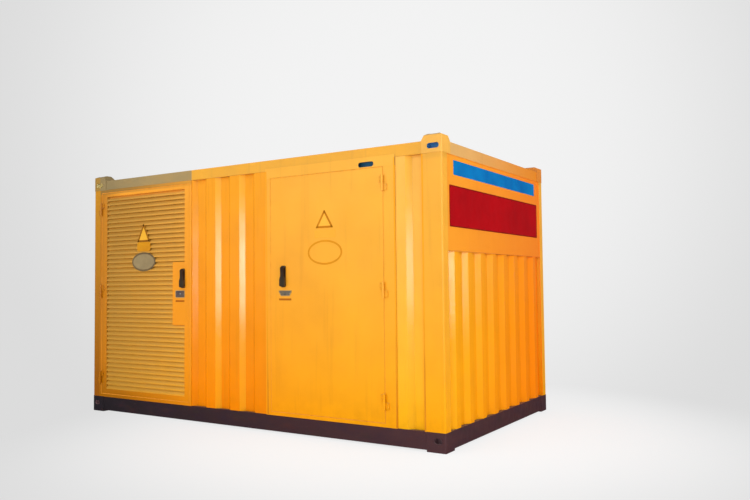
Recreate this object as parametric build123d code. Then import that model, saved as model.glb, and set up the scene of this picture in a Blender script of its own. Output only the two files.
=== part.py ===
from build123d import *
import os

# A containerised transformer station: an empty steel housing on a dark base frame.
# Millimetres, +Z up. The origin is on the ground at the middle of the footprint.
# The front, with its two doors, faces -Y. "Along" positions run from the left end.

# Overall
length = 4450
width = 2438
height = 2655
base_top = 165
fitting_rise = 65
rail_height = 105

# Corner fittings
top_fitting_length = 196
top_fitting_crown = 155
top_crown_depth = 105
crown_brow = 44
brow_drop = 20
fitting_depth = 162
bottom_fitting_length = 178
fitting_wall = 20
fitting_edge_radius = 12
fitting_edge_chamfer = 4
bottom_slot_length = 124
top_slot_length = 110
slot_width = 64
top_hollow_end = 150
top_hollow_back = 100
top_hole_length = 115
top_hole_height = 46
top_hole_from_end = 84
top_hole_below_rail = 46
bottom_hole_length = 80
bottom_hole_height = 46
bottom_hole_from_end = 72
bottom_hole_z = 94
cut_overrun = 1

# Base frame and floor
base_bottom = 15
base_rail_depth = 75
base_wall = 6
floor_thickness = 6
bearer_height = 120
bearer_flange = 50
bearer_wall = 6
bearer_count = 10
bearer_margin = 330

# Posts and top rails
post_length = 196
narrow_post_length = 101
post_depth = 100
post_wall = 5
post_edge_radius = 14
post_inset = 2
rail_inset = 5
rail_depth = 60
rail_wall = 4

# Corrugated sheet
sheet = 3
crest_inset = 8
recess_depth = 36
side_slope = 50
side_floor = 100
side_pitch = 322
middle_first_crest = 9
right_first_crest = 98
end_slope = 60
end_floor = 76
end_pitch = 272
end_flat_height = 820
roof_sheet = 2
roof_depth = 18
roof_slope = 18
roof_floor = 86
roof_pitch = 208
roof_below_rail = 3
roof_end_plate = 4

# Doors
door_inset = 2
frame_depth = 60
door_gap = 7
leaf_thickness = 44
skin = 3
stop_width = 20
stop_thickness = 10
sill_height = 30
frame_wall = 4
louvre_frame_length = 1448
louvre_frame_member = 28
louvre_head = 30
plain_frame_length = 1450
plain_lock_member = 60
plain_hinge_member = 118
right_bay = 455
header_height = 70
header_lip = 25
slot_from_right = 376
slot_length = 160
slot_height = 45
slot_below_rail = 39

# Louvre field
hinge_stile = 80
lock_stile = 64
bottom_member = 50
top_member = 43
slat_count = 43
slat_lip = 14
slat_overlap = 8
slat_thickness = 2
slat_setback = 3
strip = 3
plate_length = 176
plate_bottom = 986
plate_height = 657

# Leaf stiffening of the plain door
return_width = 42
stiffener_width = 60
stiffener_depth = 33
stiffener_end_gap = 30
stiffener_count = 3

# Hinges
low_hinge_rise = 215
middle_hinge_rise = 1174
high_hinge_drop = 217
hinge_height = 140
hinge_barrel_radius = 11
hinge_pin_radius = 6
hinge_pin_end_gap = 10
hinge_cap = 6
hinge_running_gap = 0.05
hinge_axial_gap = 0.3
hinge_stand_off = 5
hinge_strap = 42
hinge_strap_thickness = 8
hinge_strap_height = 56

# Lever handles
louvre_lever_inset = 84
plain_lever_inset = 154
lever_pivot_rise = 1380
lever_base_width = 52
lever_base_top = 27
lever_base_bottom = 175
lever_base_thickness = 10
lever_base_chamfer = 10
lever_boss_radius = 20
lever_neck = 70
lever_flare = 30
lever_length = 168
lever_width = 36
lever_tip_width = 60
lever_tip_chamfer = 9
lever_thickness = 16
lever_gap = 5
spindle_radius = 8
spindle_gap = 0.05
spindle_end_gap = 0.3
spindle_depth = 8
lock_case_width = 50
lock_case_height = 150

# Derived planes and positions
left_end = -length / 2
front = -width / 2
back = width / 2
rail_top = height - fitting_rise
rail_bottom = rail_top - rail_height
header_bottom = rail_bottom - header_height
bottom_rail_inner_y = width / 2 - rail_inset - base_rail_depth
bottom_rail_inner_x = length / 2 - rail_inset - base_rail_depth
top_rail_inner_y = width / 2 - rail_inset - rail_depth
top_rail_inner_x = length / 2 - rail_inset - rail_depth
door_face = front + door_inset
leaf_back = door_face + leaf_thickness
frame_back = door_face + frame_depth
louvre_frame_left = narrow_post_length
louvre_frame_right = louvre_frame_left + louvre_frame_length
louvre_inner_left = louvre_frame_left + louvre_frame_member
louvre_inner_right = louvre_frame_right - louvre_frame_member
louvre_leaf_left = louvre_inner_left + door_gap
louvre_leaf_right = louvre_inner_right - door_gap
plain_frame_right = length - right_bay
plain_frame_left = plain_frame_right - plain_frame_length
plain_inner_left = plain_frame_left + plain_lock_member
plain_inner_right = plain_frame_right - plain_hinge_member
plain_leaf_left = plain_inner_left + door_gap
plain_leaf_right = plain_inner_right - door_gap
leaf_bottom = base_top + sill_height + door_gap
louvre_leaf_top = rail_bottom - louvre_head - door_gap
plain_leaf_top = header_bottom - door_gap
field_left = louvre_leaf_left + hinge_stile
field_right = louvre_leaf_right - lock_stile
field_bottom = leaf_bottom + bottom_member
field_top = louvre_leaf_top - top_member
plate_left = field_right - plate_length
plate_top = plate_bottom + plate_height
hinge_y = door_face - hinge_stand_off - hinge_barrel_radius
louvre_hinge_x = left_end + louvre_leaf_left - door_gap / 2
plain_hinge_x = left_end + plain_leaf_right + door_gap / 2
hinge_heights = (base_top + low_hinge_rise, base_top + middle_hinge_rise,
                 rail_bottom - high_hinge_drop)
lever_pivot_z = base_top + lever_pivot_rise
louvre_lever_x = louvre_leaf_right - louvre_lever_inset
plain_lever_x = plain_leaf_left + plain_lever_inset

os.makedirs("parts", exist_ok=True)


def save(shape, node):
    shape.label = node
    export_step(shape, f"parts/{node}.step")


def block(x0, x1, y0, y1, z0, z1):
    middle = ((x0 + x1) / 2, (y0 + y1) / 2, (z0 + z1) / 2)
    return Pos(*middle) * Box(abs(x1 - x0), abs(y1 - y0), abs(z1 - z0))


def along(x0, x1, y0, y1, z0, z1):
    """A block placed by distances from the left end."""
    return block(left_end + x0, left_end + x1, y0, y1, z0, z1)


def prism_x(points, x0, x1):
    """A closed outline of (y, z) points drawn out from x0 to x1."""
    face = Plane.YZ.offset(x0) * make_face(Polyline(*points, close=True))
    return extrude(face, x1 - x0, (1, 0, 0))


def prism_y(points, y0, y1):
    """A closed outline of (x, z) points drawn out from y0 to y1."""
    places = [Vector(x, y0, z) for x, z in points]
    face = make_face(Polyline(*places, close=True))
    return extrude(face, y1 - y0, (0, 1, 0))


def prism_z(points, z0, z1):
    """A closed outline of (x, y) points drawn out from z0 to z1."""
    face = Pos(0, 0, z0) * make_face(Polyline(*points, close=True))
    return extrude(face, z1 - z0, (0, 0, 1))


def fused(shapes):
    total = shapes[0]
    for shape in shapes[1:]:
        total = total + shape
    return total


# Corner fittings
def corner_hollow(end_x, end_y, z0, z1):
    return block(fitting_wall, end_x, fitting_wall, end_y,
                 z0 + fitting_wall, z1 - fitting_wall)


def slot_cut_z(centre_x, centre_y, long, z0, z1):
    sketch = Pos(centre_x, centre_y, z0) * SlotOverall(long, slot_width)
    return extrude(sketch, z1 - z0, (0, 0, 1))


def slot_cut_y(centre_x, centre_z, long, high, y0, y1):
    plane = Plane(origin=(centre_x, y0, centre_z), x_dir=(1, 0, 0), z_dir=(0, 1, 0))
    return extrude(plane * SlotOverall(long, high), y1 - y0, (0, 1, 0))


def rounded_outer_edge(fitting):
    edges = fitting.edges().filter_by(Axis.Z).filter_by_position(Axis.X, -0.1, 0.1)
    edges = edges.filter_by_position(Axis.Y, -0.1, 0.1)
    return fillet(edges, fitting_edge_radius)


def crowned_outline(reach, crown):
    """A block that slopes inwards above the rails to its crown, and falls to its outer face."""
    return [(0, rail_bottom), (reach, rail_bottom), (reach, rail_top), (crown, height),
            (crown_brow, height), (0, height - brow_drop)]


def top_fitting():
    """Built in the corner x >= 0, y >= 0, with its outer faces on x = 0 and y = 0."""
    fitting = (prism_y(crowned_outline(top_fitting_length, top_fitting_crown), 0, fitting_depth)
               & prism_x(crowned_outline(fitting_depth, top_crown_depth), 0, top_fitting_length))
    fitting = rounded_outer_edge(fitting)
    top_edges = fitting.faces().sort_by(Axis.Z)[-1].edges()
    fitting = chamfer(top_edges, fitting_edge_chamfer)
    fitting = fitting - corner_hollow(top_hollow_end, top_hollow_back, rail_bottom, height)
    middle_x = (fitting_wall + top_hollow_end) / 2
    middle_y = (fitting_wall + top_hollow_back) / 2
    fitting = fitting - slot_cut_z(middle_x, middle_y, top_slot_length,
                                   height - fitting_wall - cut_overrun, height + cut_overrun)
    fitting = fitting - slot_cut_y(top_hole_from_end, rail_top - top_hole_below_rail,
                                   top_hole_length, top_hole_height,
                                   -cut_overrun, fitting_wall + cut_overrun)
    return fitting


def bottom_fitting():
    """Built in the corner x >= 0, y >= 0, with its outer faces on x = 0 and y = 0."""
    fitting = block(0, bottom_fitting_length, 0, fitting_depth, 0, base_top)
    fitting = rounded_outer_edge(fitting)
    fitting = fitting - corner_hollow(bottom_fitting_length - fitting_wall,
                                      fitting_depth - fitting_wall, 0, base_top)
    middle_x = bottom_fitting_length / 2
    fitting = fitting - slot_cut_z(middle_x, fitting_depth / 2, bottom_slot_length,
                                   -cut_overrun, fitting_wall + cut_overrun)
    fitting = fitting - slot_cut_y(bottom_hole_from_end, bottom_hole_z, bottom_hole_length,
                                   bottom_hole_height, -cut_overrun,
                                   fitting_wall + cut_overrun)
    return fitting


def at_corner(shape, side_x, side_y):
    """Places a corner shape at the left or right end (-1, 1), front or back (-1, 1)."""
    if side_x > 0:
        shape = mirror(shape, Plane.YZ)
    if side_y > 0:
        shape = mirror(shape, Plane.XZ)
    return Pos(side_x * length / 2, side_y * width / 2, 0) * shape


corners = {
    "front_left": (-1, -1),
    "front_right": (1, -1),
    "back_left": (-1, 1),
    "back_right": (1, 1),
}


# Corner posts
def corner_post(face_length):
    outer = block(post_inset, face_length, post_inset, post_depth, base_top, rail_bottom)
    inner = block(post_inset + post_wall, face_length - post_wall,
                  post_inset + post_wall, post_depth - post_wall, base_top, rail_bottom)
    edge = outer.edges().filter_by(Axis.Z).sort_by(lambda e: e.center().X + e.center().Y)[0]
    return fillet(edge, post_edge_radius) - inner


for place, (side_x, side_y) in corners.items():
    save(at_corner(top_fitting(), side_x, side_y), f"top_fitting_{place}")
    save(at_corner(bottom_fitting(), side_x, side_y), f"bottom_fitting_{place}")
    face_length = narrow_post_length if place == "front_left" else post_length
    save(at_corner(corner_post(face_length), side_x, side_y), f"corner_post_{place}")


# Base frame
def tube_x(half_length, y_out, y_in, z0, z1, wall):
    outer = block(-half_length, half_length, y_out, y_in, z0, z1)
    low_y, high_y = sorted((y_out, y_in))
    return outer - block(-half_length, half_length, low_y + wall, high_y - wall,
                         z0 + wall, z1 - wall)


def tube_y(half_length, x_out, x_in, z0, z1, wall):
    outer = block(x_out, x_in, -half_length, half_length, z0, z1)
    low_x, high_x = sorted((x_out, x_in))
    return outer - block(low_x + wall, high_x - wall, -half_length, half_length,
                         z0 + wall, z1 - wall)


base_half_x = length / 2 - bottom_fitting_length
base_half_y = width / 2 - fitting_depth
for name, side in (("front", -1), ("back", 1)):
    rail = tube_x(base_half_x, side * (width / 2 - rail_inset), side * bottom_rail_inner_y,
                  base_bottom, base_top, base_wall)
    save(rail, f"base_rail_{name}")
for name, side in (("left", -1), ("right", 1)):
    rail = tube_y(base_half_y, side * (length / 2 - rail_inset), side * bottom_rail_inner_x,
                  base_bottom, base_top, base_wall)
    save(rail, f"base_rail_{name}")


# Floor
floor_bottom = base_top - floor_thickness


def without_corners(shape, clear_x, clear_y, z0, z1):
    for side_x, side_y in corners.values():
        shape = shape - block(side_x * clear_x, side_x * length, side_y * clear_y,
                              side_y * width, z0, z1)
    return shape


floor = block(-bottom_rail_inner_x, bottom_rail_inner_x, -bottom_rail_inner_y,
              bottom_rail_inner_y, floor_bottom, base_top)
save(without_corners(floor, base_half_x, base_half_y, 0, rail_bottom), "floor_plate")


def floor_bearer(x):
    """A channel that stands on one flange and carries the floor on the other."""
    top = floor_bottom
    bottom = top - bearer_height
    outer = block(x, x + bearer_flange, -bottom_rail_inner_y, bottom_rail_inner_y, bottom, top)
    hollow = block(x + bearer_wall, x + bearer_flange, -bottom_rail_inner_y,
                   bottom_rail_inner_y, bottom + bearer_wall, top - bearer_wall)
    return outer - hollow


bearer_span = length - 2 * bearer_margin - bearer_flange
bearers = [
    floor_bearer(left_end + bearer_margin + bearer_span * i / (bearer_count - 1))
    for i in range(bearer_count)
]
save(Compound(bearers), "floor_bearers")


# Top rails
top_half_x = length / 2 - top_fitting_length
for name, side in (("front", -1), ("back", 1)):
    rail = tube_x(top_half_x, side * (width / 2 - rail_inset), side * top_rail_inner_y,
                  rail_bottom, rail_top, rail_wall)
    save(rail, f"top_rail_{name}")
for name, side in (("left", -1), ("right", 1)):
    rail = tube_y(base_half_y, side * (length / 2 - rail_inset), side * top_rail_inner_x,
                  rail_bottom, rail_top, rail_wall)
    save(rail, f"top_rail_{name}")


# Corrugated sheets
def recess_starts(start, stop, first, pitch, recess_length):
    """Where recesses start, from first on, as many as fit whole before stop."""
    count = int((stop - first - recess_length) // pitch) + 1
    return [first + i * pitch for i in range(count)]


def centred_starts(half, pitch, recess_length):
    count = int((2 * half - recess_length) // pitch) + 1
    first = -((count - 1) * pitch + recess_length) / 2
    return [first + i * pitch for i in range(count)]


def sheet_outline(start, stop, starts, slope, floor_length, depth, thickness):
    """Closed (place, depth) outline of a sheet that is flat apart from its recesses."""
    face = [(min(start, starts[0]) - slope, 0)]
    for first in starts:
        face.append((first, 0))
        face.append((first + slope, depth))
        face.append((first + slope + floor_length, depth))
        face.append((first + 2 * slope + floor_length, 0))
    face.append((max(stop, starts[-1] + 2 * slope + floor_length) + slope, 0))
    return face + [(place, deep + thickness) for place, deep in reversed(face)]


side_recess = 2 * side_slope + side_floor
end_recess = 2 * end_slope + end_floor
sheet_back = crest_inset + recess_depth + sheet


def side_wall(start, stop, starts, side_y):
    """A corrugated wall in the front (-1) or back (1) from start to stop along x."""
    outline = [(place, side_y * (width / 2 - crest_inset - deep)) for place, deep in
               sheet_outline(start, stop, starts, side_slope, side_floor, recess_depth, sheet)]
    wall = prism_z(outline, base_top, rail_bottom)
    return wall & block(start, stop, -width, width, 0, height)


middle_start = left_end + louvre_frame_right
middle_stop = left_end + plain_frame_left
middle_recesses = recess_starts(middle_start, middle_stop, middle_start + middle_first_crest,
                                side_pitch, side_recess)
save(side_wall(middle_start, middle_stop, middle_recesses, -1), "front_wall_middle")

right_start = left_end + plain_frame_right
right_stop = length / 2 - post_length
save(side_wall(right_start, right_stop, [right_start + right_first_crest], -1),
     "front_wall_right")

back_half = length / 2 - post_length
back_recesses = centred_starts(back_half, side_pitch, side_recess)
save(side_wall(-back_half, back_half, back_recesses, 1), "back_wall")

end_half = width / 2 - post_depth
end_joint_z = rail_bottom - end_flat_height
end_recesses = centred_starts(width / 2, end_pitch, end_recess)
end_outline = sheet_outline(-end_half, end_half, end_recesses, end_slope, end_floor,
                            recess_depth, sheet)
for name, side in (("left", -1), ("right", 1)):
    crest_x = side * (length / 2 - crest_inset)
    inner_x = side * (length / 2 - sheet_back)
    lower = prism_z([(crest_x - side * deep, place) for place, deep in end_outline],
                    base_top, end_joint_z)
    lower = lower & block(-length, length, -end_half, end_half, 0, height)
    ledge = block(crest_x, inner_x, -end_half, end_half, end_joint_z - sheet, end_joint_z)
    save(lower + ledge, f"end_wall_{name}_lower")
    upper = block(crest_x, crest_x - side * sheet, -end_half, end_half,
                  end_joint_z, rail_bottom)
    save(upper, f"end_wall_{name}_upper")


# Roof: a sheet with pressed recesses, and a flat plate at each end between the fittings
roof_top = rail_top - roof_below_rail
roof_recess = 2 * roof_slope + roof_floor
roof_recesses = centred_starts(top_half_x, roof_pitch, roof_recess)
roof_outline = [(place, roof_top - deep) for place, deep in
                sheet_outline(-top_half_x, top_half_x, roof_recesses, roof_slope, roof_floor,
                              roof_depth, roof_sheet)]
roof = prism_y(roof_outline, -top_rail_inner_y, top_rail_inner_y)
save(roof & block(-top_half_x, top_half_x, -width, width, 0, height), "roof_panel")

roof_ends = [
    block(side * top_half_x, side * top_rail_inner_x, -base_half_y, base_half_y,
          roof_top - roof_end_plate, roof_top)
    for side in (-1, 1)
]
save(Compound(roof_ends), "roof_end_plates")


# Door frames
def stops(left, right, bottom, top, head):
    """The lip behind the leaf, round the doorway, on both jambs and the sill."""
    y0 = frame_back - stop_thickness
    pieces = [
        along(left, left + stop_width, y0, frame_back, bottom, top),
        along(right - stop_width, right, y0, frame_back, bottom, top),
        along(left, right, y0, frame_back, bottom, bottom + stop_width),
    ]
    if head:
        pieces.append(along(left, right, y0, frame_back, top - stop_width, top))
    return fused(pieces)


def jamb_hollow(left, right, top):
    """The inside of a jamb, which is a tube that is open at both ends."""
    return along(left + frame_wall, right - frame_wall, door_face + frame_wall,
                 frame_back - frame_wall, base_top, top)


def sill_hollow(left, right):
    """The inside of a sill, which is a channel that is open below."""
    return along(left, right, door_face + frame_wall, frame_back - frame_wall,
                 base_top, base_top + sill_height - frame_wall)


def door_frame(left, inner_left, inner_right, right, top, head_height):
    opening_top = top - head_height
    frame = (
        along(left, right, door_face, frame_back, base_top, top)
        - along(inner_left, inner_right, door_face, frame_back,
                base_top + sill_height, opening_top)
        - jamb_hollow(left, inner_left, top)
        - jamb_hollow(inner_right, right, top)
        - sill_hollow(inner_left, inner_right)
    )
    if head_height:
        frame = frame - along(inner_left, inner_right, door_face + frame_wall,
                              frame_back - frame_wall, opening_top + frame_wall, top)
    return frame + stops(inner_left, inner_right, base_top + sill_height, opening_top,
                         head_height > 0)


save(door_frame(louvre_frame_left, louvre_inner_left, louvre_inner_right, louvre_frame_right,
                rail_bottom, louvre_head), "louvre_door_frame")
save(door_frame(plain_frame_left, plain_inner_left, plain_inner_right, plain_frame_right,
                header_bottom, 0), "plain_door_frame")

header = (
    along(plain_frame_left, plain_frame_right, door_face, frame_back,
          header_bottom, rail_bottom)
    - along(plain_frame_left, plain_frame_right, door_face + frame_wall,
            frame_back - frame_wall, header_bottom + frame_wall, rail_bottom - frame_wall)
    + along(plain_frame_left, plain_frame_right, door_face, front + rail_inset,
            rail_bottom, rail_bottom + header_lip)
    + along(plain_inner_left + stop_width, plain_inner_right - stop_width,
            frame_back - stop_thickness, frame_back, header_bottom - stop_width, header_bottom)
)
slot_x = left_end + plain_frame_right - slot_from_right + slot_length / 2
slot = slot_cut_y(slot_x, rail_bottom - slot_below_rail, slot_length, slot_height,
                  door_face - cut_overrun, door_face + frame_wall + cut_overrun)
save(header - slot, "plain_door_header")


# Louvre door leaf
def folded_ring(outer, inner):
    """A face plate with returns at its outer and inner edges; both are x0, x1, z0, z1."""
    ox0, ox1, oz0, oz1 = outer
    ix0, ix1, iz0, iz1 = inner
    ring = (along(ox0, ox1, door_face, leaf_back, oz0, oz1)
            - along(ix0, ix1, door_face, leaf_back, iz0, iz1))
    channel = (along(ox0 + skin, ox1 - skin, door_face + skin, leaf_back,
                     oz0 + skin, oz1 - skin)
               - along(ix0 - skin, ix1 + skin, door_face, leaf_back, iz0 - skin, iz1 + skin))
    return ring - channel


leaf_ring = folded_ring(
    (louvre_leaf_left, louvre_leaf_right, leaf_bottom, louvre_leaf_top),
    (field_left, field_right, field_bottom, field_top),
)
handle_plate = (
    along(plate_left, field_right, door_face, leaf_back, plate_bottom, plate_top)
    - along(plate_left + skin, field_right, door_face + skin, leaf_back,
            plate_bottom + skin, plate_top - skin)
)


def lock_case(x):
    """The case of the lock, behind the face of the leaf."""
    half = lock_case_width / 2
    centre = lever_pivot_z + (lever_base_top - lever_base_bottom) / 2
    return along(x - half, x + half, door_face + skin, leaf_back - skin,
                 centre - lock_case_height / 2, centre + lock_case_height / 2)


save(leaf_ring + handle_plate + lock_case(louvre_lever_x), "louvre_door_leaf")


# Louvre slats, with the strips that carry their ends
slat_pitch = (field_top - field_bottom) / slat_count
slat_front = door_face + slat_setback
slat_back = leaf_back - slat_setback


def slat_outline(bottom):
    rise = slat_pitch + slat_overlap - slat_lip
    return [
        (slat_front, bottom),
        (slat_front + slat_thickness, bottom),
        (slat_front + slat_thickness, bottom + slat_lip - slat_thickness),
        (slat_back, bottom + slat_lip + rise - slat_thickness),
        (slat_back, bottom + slat_lip + rise),
        (slat_front, bottom + slat_lip),
    ]


def louvre_slats():
    y0, y1 = slat_front, slat_back
    beside_plate = along(plate_left, field_right, y0, y1, plate_bottom, plate_top)
    field = along(field_left, field_right, y0, y1, field_bottom, field_top) - beside_plate
    blades = [
        prism_x(slat_outline(field_bottom + i * slat_pitch),
                left_end + field_left, left_end + field_right)
        for i in range(slat_count)
    ]
    strips = [
        along(field_left, field_left + strip, y0, y1, field_bottom, field_top),
        along(field_right - strip, field_right, y0, y1, field_bottom, plate_bottom),
        along(field_right - strip, field_right, y0, y1, plate_top, field_top),
        along(plate_left - strip, plate_left, y0, y1, plate_bottom, plate_top),
    ]
    return fused([fused(blades) & field] + strips)


save(louvre_slats(), "louvre_slats")


# Plain door leaf
def plain_leaf():
    left, right = plain_leaf_left, plain_leaf_right
    bottom, top = leaf_bottom, plain_leaf_top
    leaf = along(left, right, door_face, leaf_back, bottom, top)
    cavity = along(left + skin, right - skin, door_face + skin, leaf_back - skin,
                   bottom + skin, top - skin)
    window = along(left + return_width, right - return_width, leaf_back - skin, leaf_back,
                   bottom + return_width, top - return_width)
    leaf = leaf - cavity - window
    x0, x1 = left + stiffener_end_gap, right - stiffener_end_gap
    y0, y1 = door_face + skin, door_face + skin + stiffener_depth
    for i in range(stiffener_count):
        middle = bottom + (top - bottom) * (i + 1) / (stiffener_count + 1)
        z0, z1 = middle - stiffener_width / 2, middle + stiffener_width / 2
        hat = along(x0, x1, y0, y1, z0, z1) - along(x0, x1, y0, y1 - skin, z0 + skin, z1 - skin)
        leaf = leaf + hat
    return leaf + lock_case(plain_lever_x)


save(plain_leaf(), "plain_door_leaf")


# Hinges: the lower knuckle and its pin are on the frame, the upper knuckle on the leaf
def cylinder_z(x, y, radius, z0, z1):
    return Pos(x, y, (z0 + z1) / 2) * Cylinder(radius, z1 - z0)


def strap(x, direction, z0, z1):
    middle = (z0 + z1) / 2
    return block(x, x + direction * hinge_strap, door_face - hinge_strap_thickness, door_face,
                 middle - hinge_strap_height / 2, middle + hinge_strap_height / 2)


def frame_knuckle(x, towards_leaf, middle):
    bottom = middle - hinge_height / 2
    barrel = cylinder_z(x, hinge_y, hinge_barrel_radius, bottom, middle)
    pin = cylinder_z(x, hinge_y, hinge_pin_radius, middle,
                     middle + hinge_height / 2 - hinge_pin_end_gap)
    return barrel + pin + strap(x, -towards_leaf, bottom, middle)


def leaf_knuckle(x, towards_leaf, middle):
    bottom = middle + hinge_axial_gap
    top = middle + hinge_height / 2
    barrel = cylinder_z(x, hinge_y, hinge_barrel_radius, bottom, top)
    barrel = barrel + strap(x, towards_leaf, bottom, top)
    bore = cylinder_z(x, hinge_y, hinge_pin_radius + hinge_running_gap, bottom,
                      top - hinge_cap)
    return barrel - bore


for door, x, towards_leaf in (("louvre_door", louvre_hinge_x, 1),
                              ("plain_door", plain_hinge_x, -1)):
    save(Compound([frame_knuckle(x, towards_leaf, z) for z in hinge_heights]),
         f"{door}_hinges_fixed")
    save(Compound([leaf_knuckle(x, towards_leaf, z) for z in hinge_heights]),
         f"{door}_hinges_moving")


# Lever handles: a base plate on the leaf, and a lever that hangs from its pivot
def on_leaf(x, z, y):
    return Plane(origin=(left_end + x, y, z), x_dir=(1, 0, 0), z_dir=(0, -1, 0))


def lever_base(x):
    face = door_face - lever_base_thickness
    half = lever_base_width / 2
    plate = along(x - half, x + half, face, door_face, lever_pivot_z - lever_base_bottom,
                  lever_pivot_z + lever_base_top)
    plate = chamfer(plate.edges().filter_by(Axis.Y), lever_base_chamfer)
    bore = extrude(on_leaf(x, lever_pivot_z, face + spindle_depth)
                   * Circle(spindle_radius + spindle_gap), spindle_depth)
    return plate - bore


def lever(x):
    """An arm with a narrow neck and a wide grip, on a spindle that turns in the base plate."""
    face = door_face - lever_base_thickness
    plane = on_leaf(x, lever_pivot_z, face - lever_gap)
    neck, tip = lever_width / 2, lever_tip_width / 2
    right_side = [
        (neck, 0),
        (neck, -lever_neck),
        (tip, -lever_neck - lever_flare),
        (tip, -lever_length + lever_tip_chamfer),
        (tip - lever_tip_chamfer, -lever_length),
    ]
    left_side = [(-across, up) for across, up in reversed(right_side)]
    arm = extrude(plane * make_face(Polyline(*right_side, *left_side, close=True)),
                  lever_thickness)
    boss = extrude(plane * Circle(lever_boss_radius), lever_thickness)
    spindle_length = spindle_depth - spindle_end_gap + lever_gap
    spindle = extrude(on_leaf(x, lever_pivot_z, face + spindle_depth - spindle_end_gap)
                      * Circle(spindle_radius), spindle_length)
    return arm + boss + spindle


for door, x in (("louvre_door", louvre_lever_x), ("plain_door", plain_lever_x)):
    save(lever_base(x), f"{door}_lever_base")
    save(lever(x), f"{door}_lever")
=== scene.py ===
"""Looks of a containerised transformer station: a yellow steel housing on a dark base frame.

Metres, +Z up, the front towards -Y, the origin on the ground at the middle of the footprint.
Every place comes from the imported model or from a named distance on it.
"""
import math
import random

import bmesh
import bpy
from mathutils import Matrix, Vector


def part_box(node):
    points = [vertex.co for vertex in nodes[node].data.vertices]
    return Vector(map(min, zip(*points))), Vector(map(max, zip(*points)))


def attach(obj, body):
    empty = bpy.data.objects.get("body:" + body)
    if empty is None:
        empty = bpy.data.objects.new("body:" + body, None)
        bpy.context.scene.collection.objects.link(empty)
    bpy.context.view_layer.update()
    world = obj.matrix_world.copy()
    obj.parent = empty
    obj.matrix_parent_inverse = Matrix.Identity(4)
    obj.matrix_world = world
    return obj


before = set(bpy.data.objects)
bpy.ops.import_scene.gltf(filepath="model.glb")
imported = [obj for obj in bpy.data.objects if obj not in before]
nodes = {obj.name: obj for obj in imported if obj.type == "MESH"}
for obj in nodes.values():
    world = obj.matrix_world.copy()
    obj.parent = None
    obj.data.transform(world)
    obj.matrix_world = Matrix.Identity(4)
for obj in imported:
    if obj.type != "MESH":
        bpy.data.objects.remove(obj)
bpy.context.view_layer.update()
chance = random.Random(7)

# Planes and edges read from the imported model
left_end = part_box("bottom_fitting_front_left")[0].x
right_end = -left_end
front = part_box("bottom_fitting_front_left")[0].y
back = -front
base_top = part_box("base_rail_front")[1].z
rail_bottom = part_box("top_rail_front")[0].z
rail_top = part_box("top_rail_front")[1].z
door_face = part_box("plain_door_leaf")[0].y
slat_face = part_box("louvre_slats")[0].y
header_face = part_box("plain_door_header")[0].y
end_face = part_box("end_wall_right_upper")[1].x
end_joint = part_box("end_wall_right_upper")[0].z
louvre_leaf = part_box("louvre_door_leaf")
plain_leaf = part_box("plain_door_leaf")

# Hinges and levers, as in the solids
hinge_heights = (0.380, 1.339, 2.268)
hinge_height = 0.140
strap_length = 0.042
strap_thickness = 0.008
door_gap = 0.007
lever_base_thickness = 0.010

# Hollows of the corner castings, as in the solids: how far they reach in from the outer end
# and from the outer front, and the heights between which they lie
top_hollow = (0.1505, 0.1005)
top_hollow_heights = (rail_bottom, 2.630)
bottom_hollow = (0.1585, 0.1425)
bottom_hollow_heights = (0.0195, base_top - 0.0195)
casting_skin = 0.006

# The sockets for colours of a Mix node, whose other sockets have the same names
MIX_FIRST, MIX_SECOND, MIX_RESULT = 6, 7, 2


def srgb(red, green, blue):
    """An sRGB colour from 0 to 255 as linear RGBA."""
    channels = []
    for value in (red, green, blue):
        share = value / 255
        channels.append(share / 12.92 if share <= 0.04045 else ((share + 0.055) / 1.055) ** 2.4)
    return (*channels, 1.0)


YELLOW_LOW = srgb(250, 168, 0)
YELLOW_HIGH = srgb(250, 180, 56)
# The dirt tone also serves for the painted shade in corners and gaps.
YELLOW_DIRT_AND_SHADE = srgb(170, 98, 18)
DUST = srgb(205, 181, 138)


# Materials
class Nodes:
    """A node tree, with short calls for the nodes that the materials and the world share."""

    def __init__(self, tree):
        self.tree = tree

    def feed(self, socket, value):
        """Links a socket to another one, or gives it a plain value."""
        if isinstance(value, bpy.types.NodeSocket):
            self.tree.links.new(value, socket)
        else:
            socket.default_value = value

    def levels(self, value, low, high, out_low=0.0, out_high=1.0, smooth=False):
        """Turns low into out_low and high into out_high, and stays level beyond them."""
        node = self.tree.nodes.new("ShaderNodeMapRange")
        node.interpolation_type = "SMOOTHSTEP" if smooth else "LINEAR"
        self.feed(node.inputs["Value"], value)
        for name, number in (("From Min", low), ("From Max", high),
                             ("To Min", out_low), ("To Max", out_high)):
            node.inputs[name].default_value = number
        return node.outputs["Result"]

    def calc(self, operation, first, second=0.0):
        node = self.tree.nodes.new("ShaderNodeMath")
        node.operation = operation
        self.feed(node.inputs[0], first)
        self.feed(node.inputs[1], second)
        return node.outputs[0]

    def times(self, first, *others):
        """The product of all the values."""
        product = first
        for value in others:
            product = self.calc("MULTIPLY", product, value)
        return product

    def blend(self, share, first, second):
        """The first colour turned into the second by a share from 0 to 1."""
        node = self.tree.nodes.new("ShaderNodeMix")
        node.data_type = "RGBA"
        self.feed(node.inputs[0], share)
        self.feed(node.inputs[MIX_FIRST], first)
        self.feed(node.inputs[MIX_SECOND], second)
        return node.outputs[MIX_RESULT]


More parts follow.
